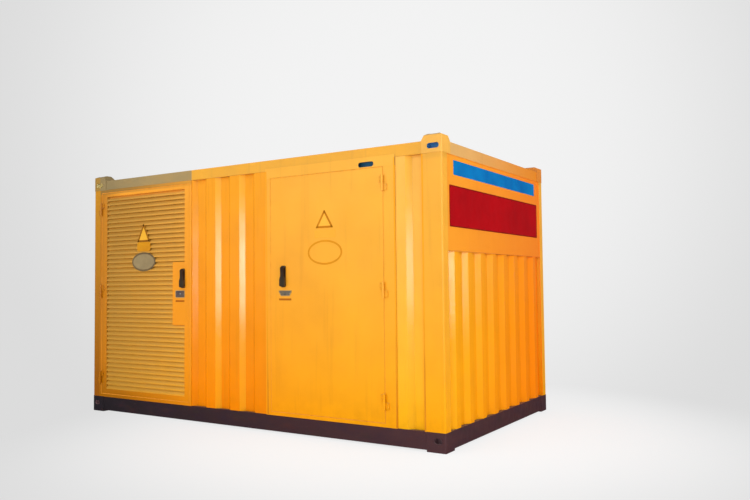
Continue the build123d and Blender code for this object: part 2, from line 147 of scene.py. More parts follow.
class Finish(Nodes):
    """A material of the housing, with calls for what the finishes share."""

    def __init__(self, name):
        self.material = bpy.data.materials.new(name)
        self.material.use_nodes = True
        super().__init__(self.material.node_tree)
        self.shader = self.tree.nodes["Principled BSDF"]
        self.place = self.tree.nodes.new("ShaderNodeTexCoord").outputs["Object"]

    def set(self, **values):
        """Feeds the shader's sockets, such as Base_Color=..., by their names."""
        for name, value in values.items():
            self.feed(self.shader.inputs[name.replace("_", " ")], value)

    def tint(self, share, tone):
        """Turns the colour that is there into another by a share from 0 to 1."""
        plain = self.shader.inputs["Base Color"].links[0].from_socket
        self.set(Base_Color=self.blend(share, plain, tone))

    def noise(self, scale, detail, stretch=(1.0, 1.0, 1.0)):
        mapping = self.tree.nodes.new("ShaderNodeMapping")
        mapping.inputs["Scale"].default_value = stretch
        self.feed(mapping.inputs["Vector"], self.place)
        texture = self.tree.nodes.new("ShaderNodeTexNoise")
        texture.inputs["Scale"].default_value = scale
        texture.inputs["Detail"].default_value = detail
        texture.inputs["Roughness"].default_value = 0.55
        self.feed(texture.inputs["Vector"], mapping.outputs["Vector"])
        return texture.outputs["Fac"]

    def patches(self, scale, detail, low, high, least=0.0, most=1.0, stretch=(1.0, 1.0, 1.0)):
        """Uneven patches: least where the noise is low or less, most where it is high or more."""
        return self.levels(self.noise(scale, detail, stretch), low, high, least, most)

    def part_of(self, vector, name):
        """The X, Y or Z of a vector."""
        node = self.tree.nodes.new("ShaderNodeSeparateXYZ")
        self.feed(node.inputs[0], vector)
        return node.outputs[name]

    def axis(self, name):
        """The X, Y or Z of the place."""
        return self.part_of(self.place, name)

    def facing(self, name):
        """How far the surface faces along X, Y or Z, from -1 to 1."""
        normal = self.tree.nodes.new("ShaderNodeNewGeometry").outputs["Normal"]
        return self.part_of(normal, name)

    def from_left(self, begin, end, least=0.0, most=1.0):
        """Grows from the least to the most between two distances from the left end."""
        return self.levels(self.axis("X"), left_end + begin, left_end + end, least, most)

    def on_side(self, name, sign, most=1.0):
        """The most on one side of the housing's middle, along X or Y, and 0 on the other."""
        half_way = 0.5
        return self.levels(self.axis(name), -sign * half_way, sign * half_way, 0.0, most)

    def crevices(self, distance):
        """1 in corners and gaps narrower than the distance, 0 in the open."""
        node = self.tree.nodes.new("ShaderNodeAmbientOcclusion")
        node.samples = 6
        node.only_local = False
        node.inputs["Distance"].default_value = distance
        return self.levels(node.outputs["AO"], 0.75, 0.15)

    def relief(self, *layers, edge_radius=0.0):
        """Bumps given as (height socket, depth in metres), over softened edges."""
        normal = None
        if edge_radius:
            bevel = self.tree.nodes.new("ShaderNodeBevel")
            bevel.samples = 4
            bevel.inputs["Radius"].default_value = edge_radius
            normal = bevel.outputs["Normal"]
        for height, depth in layers:
            bump = self.tree.nodes.new("ShaderNodeBump")
            bump.inputs["Strength"].default_value = 1.0
            bump.inputs["Distance"].default_value = depth
            self.feed(bump.inputs["Height"], height)
            if normal is not None:
                self.feed(bump.inputs["Normal"], normal)
            normal = bump.outputs["Normal"]
        self.feed(self.shader.inputs["Normal"], normal)


def steel_paint(name, low_tone, high_tone, dirt_and_shade_tone=YELLOW_DIRT_AND_SHADE, dust_tone=DUST, dirt=0.5,
                gloss=0.30, edge_radius=0.003, wave=0.0012, grime_and_shade=0.5):
    """Sprayed paint on steel: tone by height, cloudy patches, rain streaks, dust, and grime with
    painted shade in the corners.

    Gloss is the least roughness, wave how deep the sheet's waves are, dirt how much of it lies
    on the surface, and the last argument how much grime and painted shade darken the corners.
    """
    splash_height = 0.30
    crevice_width = 0.03
    shiny_from = 1.6
    rain = (1.0, 1.0, 0.05)
    paint = Finish(name)
    height = paint.levels(paint.axis("Z"), base_top, rail_top)
    colour = paint.blend(height, low_tone, high_tone)
    clouds = paint.patches(1.7, 4, 0.35, 0.68)
    colour = paint.blend(paint.times(clouds, 0.16), colour, dirt_and_shade_tone)
    streaks = paint.patches(14, 3, 0.56, 0.74, stretch=rain)
    colour = paint.blend(paint.times(streaks, 0.10 + 0.12 * dirt), colour, dirt_and_shade_tone)
    fine = paint.patches(90, 2, 0.62, 0.80)
    colour = paint.blend(paint.times(fine, 0.10 * dirt), colour, dirt_and_shade_tone)

    splash = paint.levels(paint.axis("Z"), base_top + splash_height, base_top)
    splash = paint.times(splash, paint.patches(9, 5, 0.35, 0.70))
    colour = paint.blend(paint.times(splash, 0.35 * dirt), colour, dirt_and_shade_tone)
    # Grime in the corners and gaps, and painted shade there: darker where the surroundings close
    # in.
    corners = paint.times(paint.crevices(crevice_width), grime_and_shade)
    colour = paint.blend(corners, colour, dirt_and_shade_tone)
    dust = paint.levels(paint.facing("Z"), 0.35, 0.90)
    dust = paint.times(dust, paint.patches(6, 5, 0.25, 0.65, 0.35, 0.85))
    colour = paint.blend(dust, colour, dust_tone)

    rough = paint.patches(5, 4, 0.3, 0.7, gloss, gloss + 0.10)
    rough = paint.calc("MAXIMUM", rough, paint.times(dust, 0.75))
    shine = paint.levels(paint.axis("Z"), base_top, shiny_from, 0.10, 0.5)
    paint.set(Base_Color=colour, Roughness=rough, Specular_IOR_Level=shine)
    paint.relief((paint.noise(1.6, 2), wave), (paint.noise(420, 2), 0.00006),
                 edge_radius=edge_radius)
    return paint


def front_paint():
    """Painted shade to the left end, most low down, where light falls off; darker under the rail.
    """
    paint = steel_paint("front_paint", YELLOW_LOW, YELLOW_HIGH, grime_and_shade=0.18)
    behind_face, face_reach = front + 0.4, front + 0.2
    splash_top, splash_full = base_top + 0.42, base_top + 0.03
    # Painted shade: darker and more orange towards the left end, more so lower down, where the
    # light falls off.
    shade_to_left = paint.from_left(3.6, 1.3, most=0.75)
    downwards = paint.levels(paint.axis("Z"), rail_top, base_top, 0.55, 1.0)
    paint.tint(paint.times(shade_to_left, downwards), srgb(240, 138, 4))

    # Painted shade: brown on the front faces near the left edge, where the light falls off most.
    brown = paint.from_left(0.5, 0.0, most=0.95)
    on_the_front = paint.levels(paint.axis("Y"), behind_face, face_reach)
    paint.tint(paint.times(brown, on_the_front), srgb(156, 95, 8))

    # Painted shade: darker still low down near the left end, on the front faces.
    shade_low_at_left = paint.levels(paint.axis("Z"), splash_top, splash_full)
    near_left = paint.from_left(1.8, 0.5)
    paint.tint(paint.times(shade_low_at_left, on_the_front, near_left), srgb(168, 102, 0))

    # Darker band under the rail, strongest above the louvres.
    under_rail = paint.levels(paint.axis("Z"), rail_bottom - 0.06, rail_bottom - 0.03)
    over_louvres = paint.from_left(1.8, 0.6, 0.15, 0.9)
    paint.tint(paint.times(under_rail, over_louvres), srgb(150, 112, 48))
    return paint.material


def fade_back(paint, far_tone):
    """Turns the tone of an end wall from the front corner towards the back one."""
    paint.tint(paint.levels(paint.axis("Y"), front, back, 0.0, 0.9), far_tone)
    return paint.material


def end_paint():
    """Paint on the flat upper sheets of the ends."""
    paint = steel_paint("end_paint", srgb(252, 158, 8), srgb(252, 162, 30), srgb(206, 104, 10))
    return fade_back(paint, srgb(250, 128, 0))


def sheet_paint(name, low_tone, high_tone, lit_axis="X", sign=1, lit_from=left_end):
    """Paint on the pressed sheets, whose bends are round.

    The slopes that face along the given axis, or against it where the sign is -1, are painted
    paler to the right of a given place along X: a painted highlight on the slopes facing the
    light.
    """
    paint = steel_paint(name, low_tone, high_tone, gloss=0.13, edge_radius=0.007)
    # Painted highlight: the slopes that face the light are painted paler.
    slope_highlight = paint.levels(paint.facing(lit_axis), 0.25 * sign, 0.6 * sign, 0.0, 0.42)
    reached = paint.levels(paint.axis("X"), lit_from, lit_from + 0.1)
    paint.tint(paint.times(slope_highlight, reached), srgb(255, 190, 36))
    return paint


def rail_paint(name, tone):
    """Paint on the top rails, bleached and dirty."""
    return steel_paint(name, tone, tone, srgb(150, 112, 60), dirt=0.8, gloss=0.42)


def front_rail_paint():
    """Dusty from the left end as far as the middle wall, and darker at that end."""
    paint = rail_paint("front_rail", srgb(240, 170, 40))
    dusty_reach = 1.55
    soft_edge = 0.006
    dusty = paint.from_left(dusty_reach + soft_edge, dusty_reach - soft_edge)
    patches = paint.patches(7, 5, 0.25, 0.7, 0.75, 1.0, stretch=(0.4, 1.0, 1.0))
    paint.tint(paint.times(dusty, patches), srgb(154, 136, 94))
    paint.tint(paint.from_left(0.9, 0.0, most=0.7), srgb(128, 112, 76))
    return paint.material


def end_rail_paint():
    """Pale at the front corner and deep orange at the back one."""
    paint = rail_paint("end_rail", srgb(225, 174, 100))
    paint.tint(paint.levels(paint.axis("Y"), front, back, smooth=True), srgb(234, 136, 0))
    return paint.material


def louvre_paint():
    """More dust than the flat sheets, most to the left, and painted shade on the lit lips."""
    low, high = louvre_leaf
    lip_reach, depth_reach = slat_face + 0.014, slat_face + 0.024
    paint = steel_paint("louvre_paint", srgb(252, 176, 40), srgb(250, 176, 56),
                        srgb(196, 130, 36), srgb(226, 178, 92), dirt=0.8, gloss=0.5,
                        edge_radius=0.0, wave=0.0005, grime_and_shade=0.0)

    def to_left(least, most):
        return paint.levels(paint.axis("X"), high.x, low.x, least, most)

    def to_lips(least, most):
        """Grows out of the depth of the louvres towards their lips."""
        return paint.levels(paint.axis("Y"), depth_reach, lip_reach, least, most)

    upwards = paint.levels(paint.axis("Z"), 0.2, 2.4, 0.75, 1.0)
    # Dust, higher up and to the left, and painted shade on the lips, which take the light, while
    # the shaded depth between the slats is left pale.
    dust_and_lip_shade = paint.times(upwards, to_left(0.0, 0.75), to_lips(0.05, 1.0))
    paint.tint(dust_and_lip_shade, srgb(178, 138, 62))
    # Painted shade: darker orange on the lips, most to the left.
    paint.tint(paint.times(to_left(0.3, 0.95), to_lips(0.0, 0.6)), srgb(176, 124, 34))
    return paint.material


def inside_casting(paint, hollow, heights):
    """1 behind the outer faces of a corner casting, within its hollow, and 0 outside it."""
    across = paint.calc("ABSOLUTE", paint.axis("X"))
    deep = paint.calc("ABSOLUTE", paint.axis("Y"))
    up = paint.axis("Z")
    inside = paint.calc("LESS_THAN", across, right_end - casting_skin)
    for operation, value, limit in (("GREATER_THAN", across, right_end - hollow[0]),
                                    ("LESS_THAN", deep, back - casting_skin),
                                    ("GREATER_THAN", deep, back - hollow[1]),
                                    ("GREATER_THAN", up, heights[0]),
                                    ("LESS_THAN", up, heights[1])):
        inside = paint.times(inside, paint.calc(operation, value, limit))
    return inside


def cast_grain(paint):
    """A grain of cast steel on top of the relief that is there."""
    bump = paint.tree.nodes.new("ShaderNodeBump")
    bump.inputs["Distance"].default_value = 0.0005
    paint.feed(bump.inputs["Height"], paint.noise(160, 4))
    paint.feed(bump.inputs["Normal"], paint.shader.inputs["Normal"].links[0].from_socket)
    paint.feed(paint.shader.inputs["Normal"], bump.outputs["Normal"])


def top_casting():
    """Yellow castings, duller to the left and the back, and dusty at the front left.

    Where one looks into them: a painted blue reflection on the right, painted light on the left.
    """
    paint = steel_paint("casting_yellow", YELLOW_LOW, srgb(250, 184, 72), srgb(120, 84, 40),
                        gloss=0.40, edge_radius=0.004)
    paint.tint(paint.on_side("X", -1, 0.85), srgb(148, 115, 46))
    paint.tint(paint.on_side("Y", 1, 0.85), srgb(222, 124, 22))
    dusty = paint.times(paint.from_left(0.085, 0.105), paint.on_side("X", -1),
                        paint.on_side("Y", -1), 0.85)
    paint.tint(dusty, srgb(146, 128, 88))
    inside = inside_casting(paint, top_hollow, top_hollow_heights)
    # Painted reflection: blue inside the hollows, where one looks into them.
    paint.tint(inside, srgb(88, 158, 218))
    # Painted light: pale inside the hollows at the left, which takes away their shade.
    paint.tint(paint.times(inside, paint.on_side("X", -1)), srgb(255, 240, 180))
    cast_grain(paint)
    return paint.material


def header_paint():
    """The front yellow, with a painted blue reflection inside the hollow header."""
    paint = steel_paint("header_paint", YELLOW_LOW, YELLOW_HIGH)
    skin = 0.0015
    inside = paint.calc("GREATER_THAN", paint.axis("Y"), header_face + skin)
    # Painted reflection: blue on the faces inside the hollow header.
    paint.tint(inside, srgb(44, 100, 132))
    return paint.material


def base_paint(name):
    """Dark brush paint on the base frame, with violet, olive and brown patches."""
    paint = Finish(name)
    # Painted shade: darker towards the left end, where the light falls off.
    shade_along = paint.levels(paint.axis("X"), left_end, right_end)
    colour = paint.blend(shade_along, srgb(34, 30, 36), srgb(78, 46, 50))
    violet = paint.patches(3.5, 3, 0.45, 0.70, stretch=(1.0, 1.0, 2.5))
    colour = paint.blend(paint.times(violet, 0.4), colour, srgb(52, 34, 52))
    olive = paint.patches(5.2, 3, 0.55, 0.75, stretch=(0.7, 1.0, 3.0))
    colour = paint.blend(paint.times(olive, 0.4), colour, srgb(56, 50, 40))
    brown = paint.patches(4.1, 4, 0.52, 0.72, stretch=(0.8, 1.0, 2.0))
    colour = paint.blend(paint.times(brown, 0.4), colour, srgb(84, 42, 38))
    scuffs = paint.patches(60, 5, 0.66, 0.78, stretch=(0.3, 1.0, 1.4))
    colour = paint.blend(paint.times(scuffs, 0.35), colour, srgb(120, 104, 92))
    dust = paint.levels(paint.facing("Z"), 0.4, 0.95, 0.0, 0.5)
    colour = paint.blend(dust, colour, srgb(128, 112, 92))
    paint.set(Base_Color=colour, Roughness=paint.patches(11, 3, 0.3, 0.7, 0.38, 0.6),
              Specular_IOR_Level=0.35)
    paint.relief((paint.noise(60, 3), 0.0004), (paint.noise(260, 2), 0.0001),
                 edge_radius=0.003)
    return paint


def bottom_casting():
    """The base frame's paint on castings, with painted light where one looks into them."""
    paint = base_paint("casting_dark")
    inside = inside_casting(paint, bottom_hollow, bottom_hollow_heights)
    # Painted light: paler inside the hollows, against their shade.
    paint.tint(inside, srgb(160, 124, 130))
    cast_grain(paint)
    return paint.material


def floor_paint():
    """Grey anti-slip coat on the floor plate inside, trodden paler by the doors."""
    paint = Finish("floor_paint")
    colour = paint.blend(paint.patches(2.5, 4, 0.3, 0.7), srgb(104, 101, 96),
                         srgb(128, 123, 114))
    trodden = paint.levels(paint.axis("Y"), 0.2, front, 0.0, 0.6)
    trodden = paint.times(trodden, paint.patches(8, 5, 0.4, 0.7))
    colour = paint.blend(trodden, colour, srgb(150, 142, 126))
    paint.set(Base_Color=colour, Roughness=paint.patches(40, 3, 0.3, 0.7, 0.6, 0.85))
    paint.relief((paint.noise(320, 3), 0.0006))
    return paint.material


def black_finish():
    """Powder-coated black, rubbed smoother at the grip, with a painted reflection there."""
    paint = Finish("black_finish")
    grip_top, grip_full = 1.50, 1.42
    colour = paint.blend(paint.patches(30, 4, 0.4, 0.7), srgb(44, 24, 14), srgb(62, 44, 28))
    # Where the hand goes: rubbed smoother, and painted paler and greener, a painted reflection.
    grip_wear_and_reflection = paint.levels(paint.axis("Z"), grip_top, grip_full)
    paint.set(Base_Color=paint.blend(paint.times(grip_wear_and_reflection, 0.5), colour, srgb(60, 58, 44)),
              Roughness=paint.levels(grip_wear_and_reflection, 0.0, 1.0, 0.48, 0.30))
    paint.relief((paint.noise(900, 2), 0.00008), edge_radius=0.002)
    return paint.material


def enamel(name, tone, shade, gloss, scale=6.0, shine=0.5):
    """Enamel on a thin plate, a little uneven in tone, with a fine orange-peel surface."""
    paint = Finish(name)
    colour = paint.blend(paint.patches(scale, 4, 0.35, 0.70), tone, shade)
    specks = paint.patches(140, 3, 0.66, 0.78)
    paint.set(Base_Color=paint.blend(paint.times(specks, 0.25), colour, shade),
              Roughness=paint.patches(9, 3, 0.3, 0.7, gloss, gloss + 0.15),
              Specular_IOR_Level=shine)
    paint.relief((paint.noise(2.2, 2), 0.0008), (paint.noise(500, 2), 0.00005))
    return paint.material


def rubber():
    """The seal in the door gap, dusty and sprayed over with the housing."""
    paint = Finish("painted_rubber")
    patchy = paint.patches(24, 5, 0.45, 0.65, stretch=(1.0, 1.0, 0.4))
    paint.set(Base_Color=paint.blend(patchy, srgb(244, 156, 30), srgb(226, 138, 22)),
              Roughness=paint.levels(patchy, 0.0, 1.0, 0.65, 0.85))
    paint.relief((paint.noise(120, 3), 0.0003))
    return paint.material


def zinc():
    """Dull zinc-plated screws and lock parts."""
    metal = Finish("zinc")
    stain = metal.patches(70, 4, 0.45, 0.7)
    metal.set(Base_Color=metal.blend(stain, srgb(168, 166, 160), srgb(122, 112, 98)),
              Roughness=metal.levels(stain, 0.0, 1.0, 0.32, 0.6), Metallic=0.85)
    metal.relief((metal.noise(400, 2), 0.00005))
    return metal.material


front_yellow = front_paint()
end_yellow = end_paint()
front_sheet = sheet_paint("front_sheet", srgb(246, 138, 0), srgb(250, 165, 36),
                          lit_from=left_end + 1.70).material
narrow_sheet = sheet_paint("narrow_sheet", srgb(254, 183, 16), srgb(254, 190, 88)).material
end_sheet = fade_back(sheet_paint("end_sheet", srgb(252, 170, 4), srgb(253, 175, 24), "Y", -1),
                      srgb(246, 120, 0))
left_sheet = fade_back(sheet_paint("left_sheet", srgb(250, 150, 4), srgb(250, 156, 26), "Y", 1),
                       srgb(248, 128, 0))
louvre_yellow = louvre_paint()
casting_yellow = top_casting()
casting_dark = bottom_casting()
header_yellow = header_paint()
base_dark = base_paint("base_paint").material
floor_grey = floor_paint()
black_metal = black_finish()
front_rail = front_rail_paint()
end_rail = end_rail_paint()
# The front left post is painted darker than the rest of the front: painted shade where the light
# falls off towards the left end.
left_post = steel_paint("left_post", srgb(150, 84, 0), srgb(204, 140, 20)).material
zinc_plate = zinc()
seal_rubber = rubber()

node_finish = {
    "end_wall_left_upper": end_yellow,
    "end_wall_right_upper": end_yellow,
    "end_wall_left_lower": left_sheet,
    "end_wall_right_lower": end_sheet,
    "front_wall_middle": front_sheet,
    "front_wall_right": narrow_sheet,
    "back_wall": front_sheet,
    "roof_panel": front_sheet,
    "louvre_slats": louvre_yellow,
    "plain_door_header": header_yellow,
    "corner_post_front_left": left_post,
    "top_rail_front": front_rail,
    "top_rail_left": end_rail,
    "top_rail_right": end_rail,
    "floor_plate": floor_grey,
    "floor_bearers": base_dark,
}


def finish_of(name):
    if name in node_finish:
        return node_finish[name]
    if name.startswith("top_fitting"):
        return casting_yellow
    if name.startswith("bottom_fitting"):
        return casting_dark
    if name.startswith("base_rail"):
        return base_dark
    if "lever" in name:
        return black_metal
    return front_yellow


for name, thing in nodes.items():
    thing.data.materials.clear()
    thing.data.materials.append(finish_of(name))


# Building of pieces
def make_piece(name, mesh, finish, body, smooth=True):
    """Turns a bmesh in the frame's own metres into a piece that rides on a body."""
    bmesh.ops.recalc_face_normals(mesh, faces=mesh.faces)
    data = bpy.data.meshes.new(name)
    mesh.to_mesh(data)
    mesh.free()
    for face in data.polygons:
        face.use_smooth = smooth
    piece = bpy.data.objects.new(name, data)
    bpy.context.scene.collection.objects.link(piece)
    for material in finish if isinstance(finish, list) else [finish]:
        data.materials.append(material)
    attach(piece, body)


def on_front(across, up, face=door_face):
    """A frame whose X runs right, Y up and Z out of the front, at a place from the left end."""
    axes = Matrix(((1, 0, 0), (0, 0, -1), (0, 1, 0))).to_4x4()
    return Matrix.Translation((left_end + across, face, up)) @ axes


def on_right_end(across, up):
    """The same on the right end, at a distance from its front corner."""
    axes = Matrix(((0, 0, 1), (1, 0, 0), (0, 1, 0))).to_4x4()
    return Matrix.Translation((end_face, front + across, up)) @ axes


def bridge(mesh, low, high):
    """The faces between two rings of vertices."""
    for i in range(len(low)):
        after = (i + 1) % len(low)
        mesh.faces.new((low[i], low[after], high[after], high[i]))


def plate(mesh, place, outline, thickness, rim=0.0, step=0.0):
    """A flat plate from an outline; a rim stands a step above it, as the second material."""
    bottom = [mesh.verts.new(place @ Vector((x, y, 0))) for x, y in outline]
    top = [mesh.verts.new(place @ Vector((x, y, thickness))) for x, y in outline]
    bridge(mesh, bottom, top)
    mesh.faces.new(bottom[::-1])
    face = mesh.faces.new(top)
    if rim:
        face.normal_update()
        slope = step * 1.5
        for width in (rim, slope):
            ring = bmesh.ops.inset_individual(mesh, faces=[face], thickness=width)
            for band in ring["faces"]:
                band.material_index = 1
        sunk = place.to_3x3() @ Vector((0, 0, -step))
        bmesh.ops.translate(mesh, verts=face.verts, vec=sunk)


def rectangle(width, height, corner):
    """A rectangle about its middle, with round corners."""
    steps = 4
    points = []
    for quarter, (side_x, side_y) in enumerate(((1, 1), (-1, 1), (-1, -1), (1, -1))):
        centre_x = side_x * (width / 2 - corner)
        centre_y = side_y * (height / 2 - corner)
        for step in range(steps + 1):
            angle = math.radians(90 * (quarter + step / steps))
            points.append((centre_x + corner * math.cos(angle),
                           centre_y + corner * math.sin(angle)))
    return points


def triangle(width, height):
    """A triangle on its base, with rounded corners, about the middle of its box."""
    corner = 0.008
    steps = 3
    corners = [(-width / 2, -height / 2), (width / 2, -height / 2), (0, height / 2)]
    points = []
    for i, here in enumerate(corners):
        before = Vector(corners[i - 1]) - Vector(here)
        after = Vector(corners[(i + 1) % 3]) - Vector(here)
        half = before.angle(after) / 2
        reach = corner / math.tan(half)
        start = Vector(here) + before.normalized() * reach
        end = Vector(here) + after.normalized() * reach
        for step in range(steps + 1):
            share = step / steps
            middle = (1 - share) ** 2 * start + 2 * share * (1 - share) * Vector(here)
            points.append(tuple(middle + share ** 2 * end))
    return points


def ellipse(width, height, steps=48):
    """An ellipse about its middle."""
    angles = [math.tau * i / steps for i in range(steps)]
    return [(width / 2 * math.cos(angle), height / 2 * math.sin(angle)) for angle in angles]


def circle(mesh, place, radius, rise, sides, turn=0.0):
    """A ring of vertices at a height over the place."""
    angles = [turn + math.tau * i / sides for i in range(sides)]
    return [mesh.verts.new(place @ Vector((radius * math.cos(angle), radius * math.sin(angle),
                                           rise)))
            for angle in angles]


def dome(mesh, place, radius, height, sides=12, rings=4):
    """A round head, such as a rivet's."""
    rows = []
    for ring in range(rings):
        angle = math.pi / 2 * ring / rings
        rows.append(circle(mesh, place, radius * math.cos(angle), height * math.sin(angle),
                           sides))
    top = mesh.verts.new(place @ Vector((0, 0, height)))
    for low, high in zip(rows, rows[1:]):
        bridge(mesh, low, high)
    for i in range(sides):
        mesh.faces.new((rows[-1][i], rows[-1][(i + 1) % sides], top))


def hex_bolt(mesh, place, across, height):
    """A hexagon head with a chamfered top, on a washer."""
    washer_share, chamfer_share = 0.22, 0.82
    washer_width = across * 1.9
    washer = ellipse(washer_width, washer_width, steps=20)
    plate(mesh, place, washer, height * washer_share)
    turn = chance.uniform(0, math.tau)
    rows = []
    for reach, rise in ((1.0, washer_share), (1.0, chamfer_share), (0.84, 1.0)):
        radius = across / 2 / math.cos(math.pi / 6) * reach
        rows.append(circle(mesh, place, radius, height * rise, 6, turn))
    for low, high in zip(rows, rows[1:]):
        bridge(mesh, low, high)
    mesh.faces.new(rows[-1])


def bead(mesh, start, end):
    """A weld bead between two points: a round ridge with even ripples."""
    radius = 0.003
    ripple = 0.008
    sides = 8
    start, end = Vector(start), Vector(end)
    run = end - start
    direction = run.normalized()
    side = direction.orthogonal().normalized()
    other = direction.cross(side)
    angles = [math.tau * k / sides for k in range(sides)]
    count = max(4, int(run.length / ripple * 2))
    previous = None
    for i in range(count + 1):
        swell = 1.0 + (0.16 if i % 2 else -0.10) + chance.uniform(-0.06, 0.06)
        at = start + run * (i / count)
        ring = []
        for angle in angles:
            out = side * math.cos(angle) + other * math.sin(angle)
            ring.append(mesh.verts.new(at + out * radius * swell))
        if previous:
            bridge(mesh, previous, ring)
        previous = ring


# Door seals: a lip in the gap round each leaf
def door_seal(name, leaf, body):
    low, high = leaf
    depth, thickness, crest = 0.0012, 0.006, 0.0008
    clearance = 0.0003
    inner, outer = clearance, door_gap - clearance
    section = ((inner, depth + thickness), (inner, depth),
               ((inner + outer) / 2, depth - crest),
               (outer, depth), (outer, depth + thickness))
    corners = ((low.x, low.z, -1, -1), (high.x, low.z, 1, -1),
               (high.x, high.z, 1, 1), (low.x, high.z, -1, 1))
    mesh = bmesh.new()
    rings = []
    for x, z, side_x, side_z in corners:
        rings.append([mesh.verts.new((x + side_x * out, door_face + deep, z + side_z * out))
                      for out, deep in section])
    for this, following in zip(rings, rings[1:] + rings[:1]):
        bridge(mesh, this, following)
    make_piece(name, mesh, seal_rubber, body, smooth=False)


door_seal("louvre_door_seal", louvre_leaf, "louvre_door")
door_seal("plain_door_seal", plain_leaf, "plain_door")


# Hinge bolts, two on each strap
def hinge_bolts(door, gap_x, towards_leaf):
    strap_face = door_face - strap_thickness
    reach = strap_length * 0.70
    bolt_rise = 0.016
    for kind, side, shift, body in (("fixed", -towards_leaf, -hinge_height / 4, "housing"),
                                    ("moving", towards_leaf, hinge_height / 4, door)):
        mesh = bmesh.new()
        for height in hinge_heights:
            for rise in (-bolt_rise, bolt_rise):
                place = on_front(gap_x + side * reach - left_end, height + shift + rise,
                                 strap_face)
                hex_bolt(mesh, place, across=0.010, height=0.005)
        make_piece(f"{door}_hinge_bolts_{kind}", mesh, front_yellow, body,
                   smooth=False)


hinge_bolts("louvre_door", louvre_leaf[0].x - door_gap / 2, 1)
hinge_bolts("plain_door", plain_leaf[1].x + door_gap / 2, -1)


# Screws of the lever base plates
def lever_screws(door):
    low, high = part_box(f"{door}_lever_base")
    face = door_face - lever_base_thickness
    inset = 0.011
    mesh = bmesh.new()
    for x in (low.x + inset, high.x - inset):
        for z in (low.z + inset, high.z - inset):
            dome(mesh, on_front(x - left_end, z, face), radius=0.0042, height=0.0022)
    make_piece(f"{door}_lever_screws", mesh, zinc_plate, door)


lever_screws("louvre_door")
lever_screws("plain_door")


# Plates on the doors, all bare
brown_rim = enamel("brown_rim", srgb(156, 96, 8), srgb(130, 76, 8), 0.5, shine=0.2)
orange_rim = enamel("orange_rim", srgb(202, 124, 2), srgb(184, 108, 2), 0.5, shine=0.2)
faint_rim = enamel("faint_rim", srgb(226, 146, 14), srgb(212, 132, 10), 0.5, shine=0.2)
yellow_plate = enamel("yellow_plate", srgb(238, 178, 50), srgb(226, 160, 34), 0.5, shine=0.2)
leaf_plate = enamel("leaf_plate", srgb(253, 182, 56), srgb(250, 176, 48), 0.4, shine=0.3)
orange_patch = enamel("orange_patch", srgb(214, 146, 10), srgb(200, 130, 10), 0.5, shine=0.2)
leaf_patch = enamel("leaf_patch", srgb(250, 172, 46), srgb(246, 168, 42), 0.4, shine=0.3)
tan_plate = enamel("tan_plate", srgb(158, 138, 98), srgb(136, 118, 84), 0.5, shine=0.3)
dark_rim = enamel("dark_rim", srgb(116, 96, 62), srgb(98, 80, 54), 0.5, shine=0.3)
lock_grey = enamel("lock_grey", srgb(84, 72, 78), srgb(108, 92, 78), 0.45, shine=0.3)
lock_steel = enamel("lock_steel", srgb(92, 98, 96), srgb(116, 100, 74), 0.45, shine=0.3)
pale_rim = enamel("pale_rim", srgb(214, 166, 92), srgb(196, 146, 74), 0.45)
brown_strip = enamel("brown_strip", srgb(184, 100, 2), srgb(160, 82, 2), 0.5, shine=0.2)


def bare_plate(name, door, outline, materials, across, up, thickness, rim, face=door_face):
    rim_step = 0.0006
    mesh = bmesh.new()
    plate(mesh, on_front(across, up, face), outline, thickness, rim, rim_step)
    make_piece(name, mesh, materials, door, smooth=False)


# On the louvre door the plates are fixed to the lips of the slats
bare_plate("louvre_door_triangle", "louvre_door", triangle(0.204, 0.206),
           [yellow_plate, brown_rim],
           across=0.823, up=1.977, thickness=0.0025, rim=0.020, face=slat_face)
bare_plate("louvre_door_patch", "louvre_door", rectangle(0.208, 0.100, corner=0.024),
           [orange_patch, orange_patch],
           across=0.825, up=1.822, thickness=0.0022, rim=0.003, face=slat_face)
bare_plate("louvre_door_oval", "louvre_door", ellipse(0.368, 0.206), [tan_plate, dark_rim],
           across=0.825, up=1.658, thickness=0.0025, rim=0.018, face=slat_face)
bare_plate("plain_door_triangle", "plain_door", triangle(0.200, 0.170),
           [leaf_plate, orange_rim], across=3.244, up=1.992, thickness=0.0015, rim=0.018)
bare_plate("plain_door_patch", "plain_door", rectangle(0.236, 0.072, corner=0.006),
           [leaf_patch, leaf_patch], across=3.250, up=1.852, thickness=0.0012, rim=0.003)


def oval_ring(name, door, across, up, width, height, band):
    """A thin raised ring round a bare oval."""
    rise = 0.0014
    mesh = bmesh.new()
    place = on_front(across, up)
    outside = ellipse(width, height)
    inside = ellipse(width - 2 * band, height - 2 * band)
    rows = []
    for outline, z in ((outside, 0.0), (outside, rise), (inside, rise), (inside, 0.0)):
        rows.append([mesh.verts.new(place @ Vector((x, y, z))) for x, y in outline])
    for low, high in zip(rows, rows[1:] + rows[:1]):
        bridge(mesh, low, high)
    make_piece(name, mesh, faint_rim, door, smooth=False)


oval_ring("plain_door_oval", "plain_door", across=3.246, up=1.684, width=0.386, height=0.226,
          band=0.017)


# Lock plates below the levers, each with a keyhole cover, and the bare strip under them
def lock_plate(door, outline, face, across, up, strip_up, strip_length):
    bare_plate(f"{door}_lock_plate", door, outline, [face, pale_rim], across, up,
               thickness=0.003, rim=0.006)
    place = on_front(across, up)
    seat = 0.0024
    screw_reach = 0.052
    mesh = bmesh.new()
    dome(mesh, place @ Matrix.Translation((0, 0, seat)), radius=0.013, height=0.008,
         sides=20, rings=5)
    for x in (-screw_reach, screw_reach):
        dome(mesh, place @ Matrix.Translation((x, 0, seat)), radius=0.0045, height=0.0025)
    make_piece(f"{door}_lock_cover", mesh, zinc_plate, door)
    bare_plate(f"{door}_strip", door, rectangle(strip_length, 0.018, corner=0.003),
               [brown_strip, brown_strip], across, strip_up, thickness=0.0012, rim=0.002)


